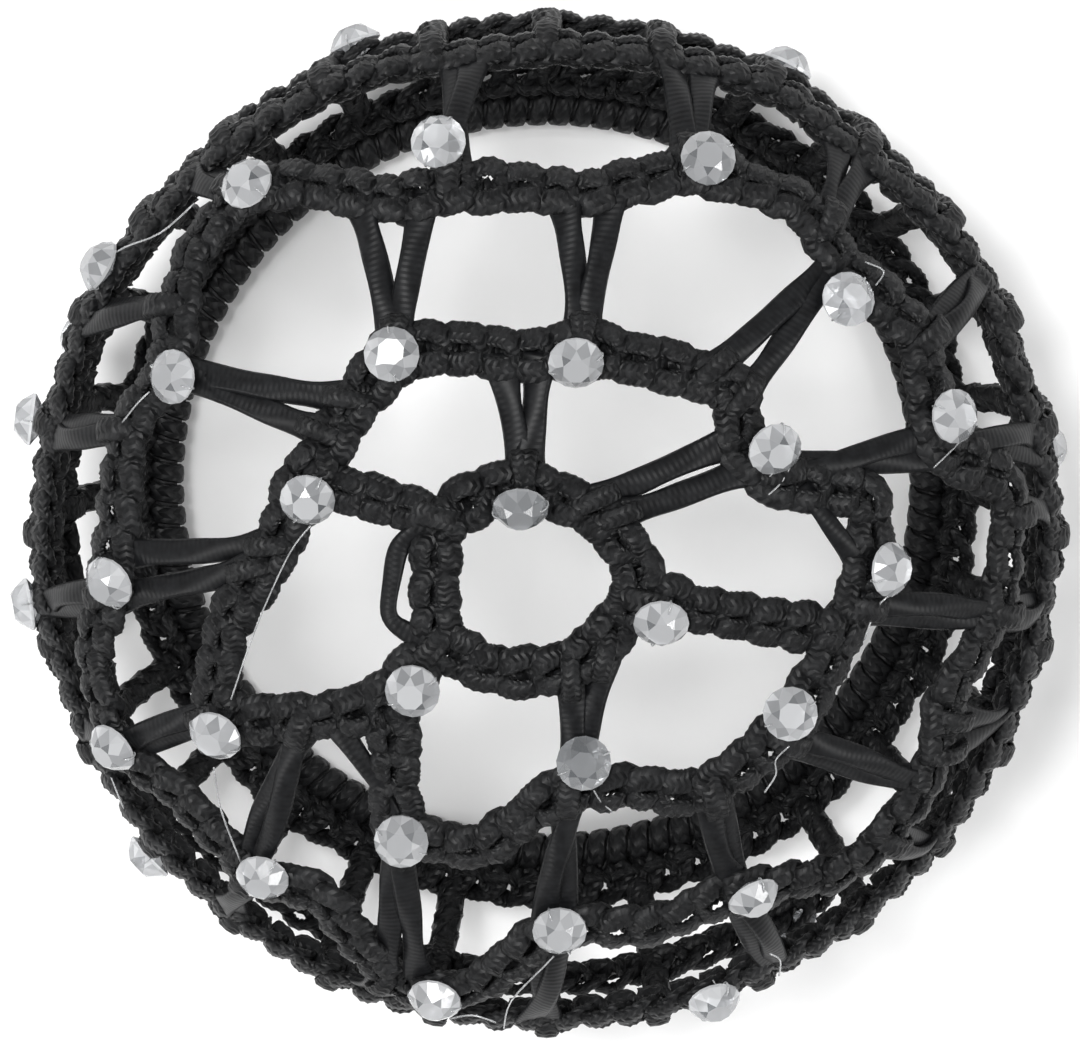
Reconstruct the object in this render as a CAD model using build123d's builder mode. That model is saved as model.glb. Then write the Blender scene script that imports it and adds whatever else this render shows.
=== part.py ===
from build123d import *
import os
from math import ceil, cos, degrees, radians, sin

# Crocheted bun cage
# An open dome of black tape yarn, worked in rounds from the crown down to an elastic rim,
# with clear cut stones sewn on its bands. Millimetres, +Z up, origin at the middle of the rim.

# Dome that the net is stretched to, measured in the middle of the tape.
# Its section is a flat crown arc that runs into a tighter shoulder arc.
widest_radius = 48.6      # where the dome is widest
crown_rise = 30.0         # from the widest place up to the top
crown_half_angle = 35.0   # degrees, where the crown arc ends and the shoulder begins
rim_angle = 150.0         # degrees, how far the shoulder has turned under at the rim

# Tape of the net, and the room between one piece and the next
band_width = 3.8
band_thickness = 2.2
strand_width = 2.6        # each strand where a post is doubled
bend_overlap = 0.6        # how far each straight run goes on past a bend
foot_step = 0.8           # how far outside the middle of a chain a post's foot starts
clearance = 0.15
longest_run = 12.5        # a longer run of band follows the dome in two straight pieces

# Hidden rounds below the widest place
round_4_reach = 70.0
round_4_posts = 28
edge_reach = 81.6
edge_posts = 28
elastic_diameter = 2.6

# Cut stones
stone_diameter = 5.1
table_diameter = 2.5
crown_height = 1.45
girdle_height = 0.3
back_depth = 1.4
facet_count = 8

# Places on the net are written as turn, in degrees anticlockwise round the dome seen from
# above, and reach, in millimetres along the dome from its top.

# Chains, a row for each stitch where the chain bends
#           turn, reach
centre_chain = [
    (18, 9.0), (60, 9.0), (102, 10.5), (120, 11.0), (145, 12.0), (174, 10.5),
    (205, 11.0), (235, 9.0), (264, 7.5), (302, 7.0), (354, 8.0),
]
chain_1 = [
    (3, 31.0), (15, 32.0), (24, 24.0), (38, 22.5), (47, 26.0), (66, 23.5),
    (82, 23.0), (96, 22.0), (109, 24.0), (122, 26.5), (136, 25.0), (158, 25.0),
    (171, 25.5), (188, 31.0), (204, 35.5), (210, 26.5), (217, 18.0), (240, 28.5),
    (256, 27.0), (275, 19.0), (294, 21.0), (305, 25.0), (320, 26.0), (330, 27.0),
    (350, 28.5),
]
chain_2 = [
    (9, 48.0), (18, 40.0), (32, 43.5), (47, 42.0), (55, 44.5), (70, 42.5),
    (84, 37.5), (102, 39.0), (112, 39.5), (123, 46.0), (130, 49.0), (139, 48.0),
    (152, 42.0), (161, 44.0), (172, 43.0), (184, 43.5), (192, 48.0), (205, 49.5),
    (213, 44.0), (227, 44.0), (236, 40.0), (252, 49.0), (261, 45.5), (271, 35.0),
    (286, 37.5), (300, 37.0), (314, 44.5), (329, 45.0), (342, 42.0), (353, 46.0),
]
chain_3 = [
    (2, 57.0), (11, 56.0), (21, 55.0), (32, 58.0), (43, 57.0), (53, 55.0),
    (63, 58.0), (74, 56.0), (86, 55.0), (99, 54.5), (111, 57.0), (122, 57.0),
    (134, 58.0), (144, 56.5), (155, 58.5), (168, 57.0), (188, 58.0), (202, 57.0),
    (214, 56.0), (230, 56.0), (247, 56.5), (260, 55.0), (270, 54.0), (284, 53.5),
    (296, 52.5), (310, 56.0), (321, 56.5), (339, 54.5), (352, 56.0),
]

# Posts, a row for each. A post with a gap is two strands, that far apart at its foot or top.
#           foot turn, top turn, foot gap, top gap
posts_1 = [
    (101, 96, 0.0, 3.6),
    (60, 34, 2.4, 3.4),
    (358, 350, 0.0, 0.0),
    (302, 278, 3.6, 0.0),
    (204, 216, 0.0, 0.0),
    (143, 156, 0.0, 0.0),
]
posts_2 = [
    (122, 112, 0.0, 5.5),
    (82, 84, 0.0, 4.4),
    (49, 47, 4.0, 0.0),
    (27, 18, 0.0, 0.0),
    (355, 353, 0.0, 0.0),
    (326, 329, 0.0, 0.0),
    (308, 300, 0.0, 0.0),
    (276, 271, 0.0, 0.0),
    (240, 252, 0.0, 4.0),
    (210, 227, 0.0, 0.0),
    (203, 205, 0.0, 0.0),
    (174, 182, 2.4, 4.4),
    (140, 152, 4.0, 0.0),
]
posts_3 = [
    (104, 99, 0.0, 0.0),
    (71, 74, 0.0, 3.6),
    (51, 53, 0.0, 3.6),
    (31, 32, 0.0, 0.0),
    (19, 11, 0.0, 0.0),
    (5, 4, 0.0, 0.0),
    (353, 352, 0.0, 0.0),
    (336, 339, 3.6, 0.0),
    (320, 321, 0.0, 0.0),
    (300, 298, 0.0, 0.0),
    (271, 269, 0.0, 0.0),
    (252, 247, 3.6, 0.0),
    (227, 230, 0.0, 0.0),
    (205, 202, 0.0, 0.0),
    (184, 188, 0.0, 0.0),
    (162, 168, 0.0, 0.0),
    (145, 155, 0.0, 0.0),
    (130, 134, 0.0, 0.0),
]

# Second strands, a row for each: they leave a chain and come back to it past a middle point.
#           from turn, from reach, middle turn, middle reach, to turn, to reach
centre_strands = [(140, 11.8, 176, 14.6, 209, 10.8)]
round_1_strands = [
    (212, 24.0, 231, 25.0, 239, 28.0),
    (22, 25.8, 12, 27.0, 1, 30.6),
]

# Stones, a row for each. The face is the way that the stone's flat table looks:
# its turn round the dome, and its tilt from straight up.
#           turn, reach, face turn, face tilt
stones = [
    (104, 43.0, 104, 30),
    (128, 48.0, 125, 45),
    (69, 43.0, 80, 22),
    (148, 57.0, 148, 75),
    (123, 26.0, 95, 20),
    (83, 21.3, 270, 18),
    (43, 39.0, 45, 28),
    (152, 40.5, 165, 38),
    (21, 42.0, 15, 35),
    (32, 24.5, 330, 22),
    (168, 62.0, 172, 88),
    (159, 23.4, 255, 18),
    (106, 8.6, 268, 36),
    (182, 42.5, 205, 36),
    (188, 59.2, 188, 80),
    (2, 32.1, 5, 48),
    (347, 10.5, 270, 27),
    (206, 35.0, 225, 30),
    (216, 15.0, 230, 12),
    (332, 25.4, 60, 8),
    (204, 47.5, 215, 48),
    (282, 16.0, 90, 8),
    (241, 28.0, 200, 6),
    (220, 60.0, 222, 80),
    (228, 41.5, 245, 30),
    (272, 34.5, 270, 18),
    (302, 37.5, 302, 50),
    (256, 46.5, 247, 34),
    (290, 50.8, 292, 40),
    (7, 70.0, 7, 105),
    (62, 70.0, 62, 105),
    (112, 70.0, 112, 105),
    (160, 72.0, 160, 108),
    (250, 70.0, 250, 105),
    (300, 70.0, 300, 105),
    (338, 70.0, 338, 105),
]

# Dome section: the shoulder arc's centre stands off the axis, and the crown arc's is on it
turn_over = radians(crown_half_angle)
shoulder_off_axis = (widest_radius - crown_rise) / (sin(turn_over) + cos(turn_over) - 1)
crown_radius = crown_rise + shoulder_off_axis * cos(turn_over)
shoulder_radius = crown_radius - shoulder_off_axis
shoulder_centre_x = shoulder_off_axis * sin(turn_over)
widest_height = -shoulder_radius * cos(radians(rim_angle))
crown_reach = crown_radius * turn_over


def slope_at(reach):
    """Angle between straight up and the dome's outward direction, at a reach."""
    if reach <= crown_reach:
        return reach / crown_radius
    return turn_over + (reach - crown_reach) / shoulder_radius


def on_dome(turn, reach, lift=0.0):
    """Point at a turn and reach, raised off the middle of the tape by a lift."""
    slope = slope_at(reach)
    if reach <= crown_reach:
        radius = crown_radius * sin(slope)
        height = widest_height + crown_rise - crown_radius * (1 - cos(slope))
    else:
        radius = shoulder_centre_x + shoulder_radius * sin(slope)
        height = widest_height + shoulder_radius * cos(slope)
    radius += lift * sin(slope)
    height += lift * cos(slope)
    return Vector(radius * cos(radians(turn)), radius * sin(radians(turn)), height)


def pointing(turn, tilt):
    """Unit direction at a turn round the dome, tilted from straight up, both in degrees."""
    flat = sin(radians(tilt))
    return Vector(flat * cos(radians(turn)), flat * sin(radians(turn)), cos(radians(tilt)))


def outward(turn, reach):
    """Direction straight out of the dome."""
    return pointing(turn, degrees(slope_at(reach)))


def shorter_way(start_turn, end_turn):
    """Degrees from one turn to another by the shorter way round."""
    return (end_turn - start_turn + 180) % 360 - 180


def reach_on(chain, turn):
    """Reach of a chain where it passes a turn."""
    rows = sorted(chain)
    rows = [(rows[-1][0] - 360, rows[-1][1])] + rows + [(rows[0][0] + 360, rows[0][1])]
    for (turn_a, reach_a), (turn_b, reach_b) in zip(rows, rows[1:]):
        if turn_a <= turn % 360 <= turn_b:
            return reach_a + (reach_b - reach_a) * (turn % 360 - turn_a) / (turn_b - turn_a)


def along(start, end):
    """Stops on the dome from start to end, no further apart than the longest run."""
    length = (on_dome(*end) - on_dome(*start)).length
    count = ceil(length / longest_run)
    sweep = shorter_way(start[0], end[0])
    rise = end[1] - start[1]
    return [(start[0] + sweep * k / count, start[1] + rise * k / count) for k in range(count + 1)]


def band_outline(width, thickness):
    """Corners of the flattened six-sided section of the tape."""
    w = width / 2
    h = thickness / 2
    flat = w - h / 2
    return [(w, 0), (flat, h), (-flat, h), (-w, 0), (-flat, -h), (flat, -h)]


def band(start, end, width, thickness):
    """Straight run of band between two places on the dome."""
    a = on_dome(*start)
    b = on_dome(*end)
    way = (b - a).normalized() * bend_overlap
    a -= way
    b += way
    across = outward(*start).cross(way)
    with BuildSketch(Plane(origin=a, x_dir=across, z_dir=b - a)) as section:
        Polygon(*band_outline(width, thickness), align=None)
    return extrude(section.sketch, amount=(b - a).length, mode=Mode.PRIVATE)


def even_ring(reach, width=band_width, thickness=band_thickness):
    """Chain at one reach all the way round: the band's section turned about the axis."""
    down_the_dome = pointing(0, degrees(slope_at(reach)) + 90)
    with BuildSketch(Plane(origin=on_dome(0, reach), x_dir=down_the_dome, z_dir=(0, 1, 0))) as section:
        Polygon(*band_outline(width, thickness), align=None)
    return revolve(section.sketch, axis=Axis.Z, mode=Mode.PRIVATE)


def strand_pieces(stops, width, thickness=band_thickness):
    """Bands through a list of places."""
    pieces = []
    for start, end in zip(stops, stops[1:]):
        places = along(start, end)
        pieces += [band(a, b, width, thickness) for a, b in zip(places, places[1:])]
    return pieces


def chain_pieces(chain, width=band_width, thickness=band_thickness):
    """Bands of one closed chain."""
    rows = sorted(chain)
    return strand_pieces(rows + rows[:1], width, thickness)


def chain_room(chain):
    """What a chain takes out of the posts that stand on it: wider by the clearance, and deep."""
    return chain_pieces(chain, band_width + 2 * clearance, 2 * band_thickness)


def degrees_for(distance, reach):
    """Turn that a sideways distance takes at a reach."""
    return degrees(distance / on_dome(0, reach).X)


def post_pieces(posts, inner, outer):
    """Bands of a round's posts, from the chain inside it to its own chain."""
    pieces = []
    for foot_turn, top_turn, foot_gap, top_gap in posts:
        foot_reach = reach_on(inner, foot_turn) + foot_step
        top_reach = reach_on(outer, top_turn)
        if foot_gap == top_gap == 0:
            stops = [(foot_turn, foot_reach), (top_turn, top_reach)]
            pieces += strand_pieces(stops, band_width)
            continue
        for side in (-0.5, 0.5):
            foot = foot_turn + degrees_for(side * foot_gap, foot_reach)
            top = top_turn + degrees_for(side * top_gap, top_reach)
            pieces += strand_pieces([(foot, foot_reach), (top, reach_on(outer, top))], strand_width)
    return pieces


def second_strands(strands, width=strand_width, thickness=band_thickness):
    """Bands of the strands that run beside a chain."""
    pieces = []
    for turn_a, reach_a, turn_b, reach_b, turn_c, reach_c in strands:
        stops = [(turn_a, reach_a), (turn_b, reach_b), (turn_c, reach_c)]
        pieces += strand_pieces(stops, width, thickness)
    return pieces


def second_strand_room(strands):
    """What the second strands take out of the posts that cross them."""
    return second_strands(strands, strand_width + 2 * clearance, 2 * band_thickness)


def even_posts(count):
    """Rows of evenly spaced single posts."""
    return [(360 * k / count, 360 * k / count, 0.0, 0.0) for k in range(count)]


def stone_seat(turn, reach, face_turn, face_tilt):
    """Place of a stone's girdle: its table looks the given way, and all of it clears the net."""
    face = pointing(face_turn, face_tilt)
    lean = radians(face.get_angle(outward(turn, reach)))
    back = (back_depth + girdle_height / 2) * cos(lean)
    side = stone_diameter / 2 * sin(lean) + girdle_height / 2 * cos(lean)
    lift = band_thickness / 2 + clearance + max(back, side)
    return Plane(origin=on_dome(turn, reach, lift), z_dir=face).location


os.makedirs("parts", exist_ok=True)

# Hidden rounds, evenly spaced
chain_4 = [(0, round_4_reach)]
posts_4 = even_posts(round_4_posts)
edge_chain = [(0, edge_reach)]
edge_post_rows = even_posts(edge_posts)
rim_reach = crown_reach + shoulder_radius * (radians(rim_angle) - turn_over)

# Centre ring: the first closed chain, with its second strand
ring_pieces = chain_pieces(centre_chain) + second_strands(centre_strands)
with BuildPart() as centre_ring:
    add(ring_pieces)
centre_ring.part.label = "centre_ring"
export_step(centre_ring.part, "parts/centre_ring.step")

# Round 1: six posts and the chain that they carry
feet = post_pieces(posts_1, centre_chain, chain_1)
room = chain_room(centre_chain) + second_strand_room(centre_strands)
ring_pieces = chain_pieces(chain_1) + second_strands(round_1_strands)
with BuildPart() as round_1:
    add(feet)
    add(room, mode=Mode.SUBTRACT)
    add(ring_pieces)
round_1.part.label = "round_1"
export_step(round_1.part, "parts/round_1.step")

# Round 2
feet = post_pieces(posts_2, chain_1, chain_2)
room = chain_room(chain_1) + second_strand_room(round_1_strands)
ring_pieces = chain_pieces(chain_2)
with BuildPart() as round_2:
    add(feet)
    add(room, mode=Mode.SUBTRACT)
    add(ring_pieces)
round_2.part.label = "round_2"
export_step(round_2.part, "parts/round_2.step")

# Round 3: its chain is the edge that the net shows from above
feet = post_pieces(posts_3, chain_2, chain_3)
room = chain_room(chain_2)
ring_pieces = chain_pieces(chain_3)
with BuildPart() as round_3:
    add(feet)
    add(room, mode=Mode.SUBTRACT)
    add(ring_pieces)
round_3.part.label = "round_3"
export_step(round_3.part, "parts/round_3.step")

# Round 4: even posts below the widest place
feet = post_pieces(posts_4, chain_3, chain_4)
room = chain_room(chain_3)
ring_pieces = [even_ring(round_4_reach)]
with BuildPart() as round_4:
    add(feet)
    add(room, mode=Mode.SUBTRACT)
    add(ring_pieces)
round_4.part.label = "round_4"
export_step(round_4.part, "parts/round_4.step")

# Edge round: short posts and the last chain, drawn in round the elastic
feet = post_pieces(edge_post_rows, chain_4, edge_chain)
room = [even_ring(round_4_reach, band_width + 2 * clearance, 2 * band_thickness)]
ring_pieces = [even_ring(edge_reach)]
with BuildPart() as edge_round:
    add(feet)
    add(room, mode=Mode.SUBTRACT)
    add(ring_pieces)
edge_round.part.label = "edge_round"
export_step(edge_round.part, "parts/edge_round.step")

# Elastic band in the rim
with BuildPart() as elastic_band:
    Torus(major_radius=on_dome(0, rim_reach).X, minor_radius=elastic_diameter / 2)
elastic_band.part.label = "elastic_band"
export_step(elastic_band.part, "parts/elastic_band.step")

# Cut stone: table and crown facets over a thin girdle, with a pointed back
with BuildPart() as cut_stone:
    with BuildSketch(Plane.XY.offset(girdle_height / 2)):
        RegularPolygon(radius=stone_diameter / 2, side_count=facet_count)
    with BuildSketch(Plane.XY.offset(girdle_height / 2 + crown_height)):
        RegularPolygon(radius=table_diameter / 2, side_count=facet_count)
    loft()
    with BuildSketch(Plane.XY.offset(-girdle_height / 2)) as girdle_bottom:
        RegularPolygon(radius=stone_diameter / 2, side_count=facet_count)
    extrude(amount=girdle_height)
    loft(sections=[girdle_bottom.sketch.face(), Vertex(0, 0, -girdle_height / 2 - back_depth)])

for number, (turn, reach, face_turn, face_tilt) in enumerate(stones, 1):
    name = f"stone_{number:02d}"
    with BuildPart() as stone:
        with Locations(stone_seat(turn, reach, face_turn, face_tilt)):
            add(cut_stone.part)
    stone.part.label = name
    export_step(stone.part, f"parts/{name}.step")
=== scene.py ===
# %% [markdown]
# # A crocheted bun cage
# A bun cage is an open net of black tape yarn, crocheted in rounds from the crown down to an
# elastic rim, with clear cut stones sewn on its bands. It stands here as an open dome.
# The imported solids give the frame: every piece below is worked out on the same dome, from the
# same tables of places, so it lies where its solid lies.

# %% Load the frame
import bpy
import numpy as np
from mathutils import Matrix


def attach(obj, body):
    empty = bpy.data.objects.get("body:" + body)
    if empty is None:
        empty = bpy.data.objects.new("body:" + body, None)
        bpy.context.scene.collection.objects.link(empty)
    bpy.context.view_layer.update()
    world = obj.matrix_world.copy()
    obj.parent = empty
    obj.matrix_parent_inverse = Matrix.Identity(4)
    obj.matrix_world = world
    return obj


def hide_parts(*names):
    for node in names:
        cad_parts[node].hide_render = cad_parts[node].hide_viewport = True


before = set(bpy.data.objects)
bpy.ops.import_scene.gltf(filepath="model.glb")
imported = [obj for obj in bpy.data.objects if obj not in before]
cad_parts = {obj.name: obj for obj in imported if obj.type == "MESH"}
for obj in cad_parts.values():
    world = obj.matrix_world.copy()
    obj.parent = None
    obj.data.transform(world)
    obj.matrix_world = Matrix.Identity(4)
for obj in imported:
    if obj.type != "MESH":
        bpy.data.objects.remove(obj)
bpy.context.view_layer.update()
mm = 0.001
print("solids in the frame:", len(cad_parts))

# %% [markdown]
# ## The dome
# The net is stretched over a round bun, so all of its stitches lie on one dome. Its section is a
# flat crown arc that runs into a tighter shoulder arc and turns under to the rim. A place on it
# is a turn (degrees anticlockwise, seen from above) and a reach (distance along the dome from its
# top). Two arcs are enough, and they let a line be pushed back onto the dome exactly.

# %% Sizes of the dome
widest_radius = 48.6 * mm
crown_rise = 30.0 * mm
turn_over = np.radians(35.0)
rim_angle = np.radians(150.0)
shoulder_off_axis = (widest_radius - crown_rise) / (np.sin(turn_over) + np.cos(turn_over) - 1)
crown_radius = crown_rise + shoulder_off_axis * np.cos(turn_over)
shoulder_radius = crown_radius - shoulder_off_axis
shoulder_centre_x = shoulder_off_axis * np.sin(turn_over)
widest_height = -shoulder_radius * np.cos(rim_angle)
crown_centre_z = widest_height + crown_rise - crown_radius
crown_reach = crown_radius * turn_over
rim_reach = crown_reach + shoulder_radius * (rim_angle - turn_over)
print("dome height %.1f mm" % ((widest_height + crown_rise) / mm))


def unit(vectors):
    """Each vector divided by its own length."""
    return vectors / np.linalg.norm(vectors, axis=-1, keepdims=True)


def direction(turn, slope):
    """Unit vectors at a turn, tilted from straight up by a slope, both in radians."""
    turn, slope = np.broadcast_arrays(turn, slope)
    flat = np.sin(slope)
    return np.stack([flat * np.cos(turn), flat * np.sin(turn), np.cos(slope)], -1)


def at_slope(turn, slope, lift=0.0):
    """Points of the dome where its outward direction has that slope. On the crown, the crown
    radius times the direction, up from the crown's centre; on the shoulder, the shoulder
    radius times the direction, out from a circle round the axis."""
    on_crown = slope < turn_over
    reach_out = np.where(on_crown, crown_radius, shoulder_radius) + lift
    middle = np.stack([np.where(on_crown, 0, shoulder_centre_x) * np.cos(turn),
                       np.where(on_crown, 0, shoulder_centre_x) * np.sin(turn),
                       np.where(on_crown, crown_centre_z, widest_height)], -1)
    return middle + reach_out[..., None] * direction(turn, slope)


def slope_at(reach):
    """Slope at a reach: reach over the crown radius, and then over the shoulder radius."""
    reach = np.asarray(reach, float)
    return np.where(reach <= crown_reach, reach / crown_radius,
                    turn_over + (reach - crown_reach) / shoulder_radius)


def on_dome(turn, reach, lift=0.0):
    """Points at turns in degrees and reaches in millimetres."""
    turn = np.radians(np.asarray(turn, float))
    slope = slope_at(np.asarray(reach, float) * mm)
    return at_slope(turn, slope, np.broadcast_to(lift, slope.shape))


def turn_and_slope(points):
    """Turn and slope of the dome's nearest place: the angle from the crown's centre if it is
    inside the crown's cone, and otherwise the angle from the shoulder's centre circle."""
    flat = np.hypot(points[..., 0], points[..., 1])
    from_crown = np.arctan2(flat, points[..., 2] - crown_centre_z)
    from_shoulder = np.arctan2(flat - shoulder_centre_x, points[..., 2] - widest_height)
    turn = np.arctan2(points[..., 1], points[..., 0])
    return turn, np.where(from_crown < turn_over, from_crown, from_shoulder)


# %% [markdown]
# ## Lines over the dome
# A chain or a post follows a line on the dome. Each is given by a few stops. The stops are joined,
# the corners are eased by averaging each point with its neighbours, as yarn under tension rounds
# them, and the line is pushed back onto the dome. With each point go two directions, straight out
# of the dome and sideways, so that stitches can be laid along it.

# %% Lines with directions
line_step = 0.4 * mm
ease_spread = 1.1 * mm
spare_end = 5.0 * mm


def measured(points):
    """Distance along a line at each of its points."""
    return np.append(0, np.cumsum(np.linalg.norm(np.diff(points, axis=0), axis=1)))


def looked_up(where, known, values):
    """Values between known ones, column by column, in straight lines."""
    return np.stack([np.interp(where, known, column) for column in values.T], -1)


def eased(points, closed):
    """Average of each point's neighbours, weighted by a bell curve of their distance."""
    half = int(3 * ease_spread / line_step)
    weight = np.exp(-0.5 * (np.arange(-half, half + 1) * line_step / ease_spread) ** 2)
    padded = np.concatenate([points[-half - 1:-1], points, points[1:half + 1]]) if closed else \
        np.concatenate([np.repeat(points[:1], half, 0), points, np.repeat(points[-1:], half, 0)])
    columns = [np.convolve(column, weight / weight.sum(), "valid") for column in padded.T]
    return np.stack(columns, -1)


def dome_line(stops, closed):
    """Line over the dome through (turn, reach) stops. An open one runs on past both ends, so
    that distance 0 is its first stop and its length ends at the last one."""
    stops = np.array(stops, float)
    corners = on_dome(stops[:, 0], stops[:, 1])
    before = 0.0
    if closed:
        corners = np.concatenate([corners, corners[:1]])
    else:
        start = corners[0] - unit(corners[1] - corners[0]) * spare_end
        end = corners[-1] + unit(corners[-1] - corners[-2]) * spare_end
        corners = np.concatenate([[start], corners, [end]])
        before = spare_end
    known = measured(corners)
    count = int(np.ceil(known[-1] / line_step)) + 1
    points = looked_up(np.linspace(0, known[-1], count), known, corners)
    points = at_slope(*turn_and_slope(eased(points, closed)), np.zeros(count))
    if closed:
        points[-1] = points[0]
        ahead = np.roll(points[:-1], -1, 0) - np.roll(points[:-1], 1, 0)
        ahead = np.concatenate([ahead, ahead[:1]])
    else:
        ahead = np.gradient(points, axis=0)
    out = direction(*turn_and_slope(points))
    s = measured(points)
    return {"points": points, "out": out, "side": unit(np.cross(out, ahead)),
            "s": s - before, "length": s[-1] - 2 * before, "closed": closed}


def laid(line, along, aside, lift):
    """Points laid on a line, with the outward and sideways directions there: the line's own
    point at each distance, plus aside times sideways, plus lift times outwards."""
    along = along % line["length"] if line["closed"] else along
    out = unit(looked_up(along, line["s"], line["out"]))
    side = unit(looked_up(along, line["s"], line["side"]))
    points = looked_up(along, line["s"], line["points"])
    return points + aside[:, None] * side + lift[:, None] * out, out, side


# %% [markdown]
# ## The net's rounds
# These are the places of the real net: a centre ring, four rounds of a wavy chain each, and an
# edge round that holds the elastic. Posts join each chain to the one inside it. Some posts are
# two strands that part like a V, so they have a gap in millimetres at the foot or the top.

# %% Places of the chains, posts and stones
centre_chain = [
    (18, 9.0), (60, 9.0), (102, 10.5), (120, 11.0), (145, 12.0), (174, 10.5),
    (205, 11.0), (235, 9.0), (264, 7.5), (302, 7.0), (354, 8.0),
]
chain_1 = [
    (3, 31.0), (15, 32.0), (24, 24.0), (38, 22.5), (47, 26.0), (66, 23.5),
    (82, 23.0), (96, 22.0), (109, 24.0), (122, 26.5), (136, 25.0), (158, 25.0),
    (171, 25.5), (188, 31.0), (204, 35.5), (210, 26.5), (217, 18.0), (240, 28.5),
    (256, 27.0), (275, 19.0), (294, 21.0), (305, 25.0), (320, 26.0), (330, 27.0),
    (350, 28.5),
]
chain_2 = [
    (9, 48.0), (18, 40.0), (32, 43.5), (47, 42.0), (55, 44.5), (70, 42.5),
    (84, 37.5), (102, 39.0), (112, 39.5), (123, 46.0), (130, 49.0), (139, 48.0),
    (152, 42.0), (161, 44.0), (172, 43.0), (184, 43.5), (192, 48.0), (205, 49.5),
    (213, 44.0), (227, 44.0), (236, 40.0), (252, 49.0), (261, 45.5), (271, 35.0),
    (286, 37.5), (300, 37.0), (314, 44.5), (329, 45.0), (342, 42.0), (353, 46.0),
]
chain_3 = [
    (2, 57.0), (11, 56.0), (21, 55.0), (32, 58.0), (43, 57.0), (53, 55.0),
    (63, 58.0), (74, 56.0), (86, 55.0), (99, 54.5), (111, 57.0), (122, 57.0),
    (134, 58.0), (144, 56.5), (155, 58.5), (168, 57.0), (188, 58.0), (202, 57.0),
    (214, 56.0), (230, 56.0), (247, 56.5), (260, 55.0), (270, 54.0), (284, 53.5),
    (296, 52.5), (310, 56.0), (321, 56.5), (339, 54.5), (352, 56.0),
]
# below the widest place the chains are nearly even: a reach, and on round 4 five slight waves
round_4_reach = 70.0
round_4_wave = 0.5
round_4_waves = 5
edge_reach = 81.6
even_turns = np.arange(0, 360, 12.0)
chain_4 = [(turn, round_4_reach + round_4_wave * np.sin(np.radians(round_4_waves * turn)))
           for turn in even_turns]
edge_chain = [(turn, edge_reach) for turn in even_turns]

#   foot turn, top turn, foot gap, top gap
posts_1 = [
    (101, 96, 0.0, 3.6), (60, 34, 2.4, 3.4), (358, 350, 0.0, 0.0), (302, 278, 3.6, 0.0),
    (204, 216, 0.0, 0.0), (143, 156, 0.0, 0.0),
]
posts_2 = [
    (122, 112, 0.0, 5.5), (82, 84, 0.0, 4.4), (49, 47, 4.0, 0.0), (27, 18, 0.0, 0.0),
    (355, 353, 0.0, 0.0), (326, 329, 0.0, 0.0), (308, 300, 0.0, 0.0), (276, 271, 0.0, 0.0),
    (240, 252, 0.0, 4.0), (210, 227, 0.0, 0.0), (203, 205, 0.0, 0.0), (174, 182, 2.4, 4.4),
    (140, 152, 4.0, 0.0),
]
posts_3 = [
    (104, 99, 0.0, 0.0), (71, 74, 0.0, 3.6), (51, 53, 0.0, 3.6), (31, 32, 0.0, 0.0),
    (19, 11, 0.0, 0.0), (5, 4, 0.0, 0.0), (353, 352, 0.0, 0.0), (336, 339, 3.6, 0.0),
    (320, 321, 0.0, 0.0), (300, 298, 0.0, 0.0), (271, 269, 0.0, 0.0), (252, 247, 3.6, 0.0),
    (227, 230, 0.0, 0.0), (205, 202, 0.0, 0.0), (184, 188, 0.0, 0.0), (162, 168, 0.0, 0.0),
    (145, 155, 0.0, 0.0), (130, 134, 0.0, 0.0),
]
even_count = 28
even_posts = [(360 * k / even_count, 360 * k / even_count, 0.0, 0.0) for k in range(even_count)]

#   turn and reach of each place of a second strand
centre_strands = [[(140, 11.8), (161, 14.6), (190, 15.0), (209, 10.8)]]
round_1_strands = [[(212, 24.0), (231, 25.0), (239, 28.0)], [(22, 25.8), (12, 27.0), (1, 30.6)]]

#   turn, reach, face turn, face tilt
stones = np.array([
    (104, 43.0, 104, 30), (128, 48.0, 125, 45), (69, 43.0, 80, 22), (148, 57.0, 148, 75),
    (123, 26.0, 95, 20), (83, 21.3, 270, 18), (43, 39.0, 45, 28), (152, 40.5, 165, 38),
    (21, 42.0, 15, 35), (32, 24.5, 330, 22), (168, 62.0, 172, 88), (159, 23.4, 255, 18),
    (106, 8.6, 268, 36), (182, 42.5, 205, 36), (188, 59.2, 188, 80), (2, 32.1, 5, 48),
    (347, 10.5, 270, 27), (206, 35.0, 225, 30), (216, 15.0, 230, 12), (332, 25.4, 60, 8),
    (204, 47.5, 215, 48), (282, 16.0, 90, 8), (241, 28.0, 200, 6), (220, 60.0, 222, 80),
    (228, 41.5, 245, 30), (272, 34.5, 270, 18), (302, 37.5, 302, 50), (256, 46.5, 247, 34),
    (290, 50.8, 292, 40), (7, 70.0, 7, 105), (62, 70.0, 62, 105), (112, 70.0, 112, 105),
    (160, 72.0, 160, 108), (250, 70.0, 250, 105), (300, 70.0, 300, 105), (338, 70.0, 338, 105),
])
print("posts:", sum(map(len, (posts_1, posts_2, posts_3, even_posts, even_posts))),
      " stones:", len(stones))

# %% [markdown]
# ## Where the stones sit
# Each stone lies in the tape with its pointed back, and its flat table looks a way of its own.
# The solid stone only touches the plain band, but soft yarn gives way, so here it is sunk a
# little into the stitches. The tape swells round it, because its knot is there, so a chain is
# wider and higher near a stone. Both follow a bell curve of the distance from the stone's foot.

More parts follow.
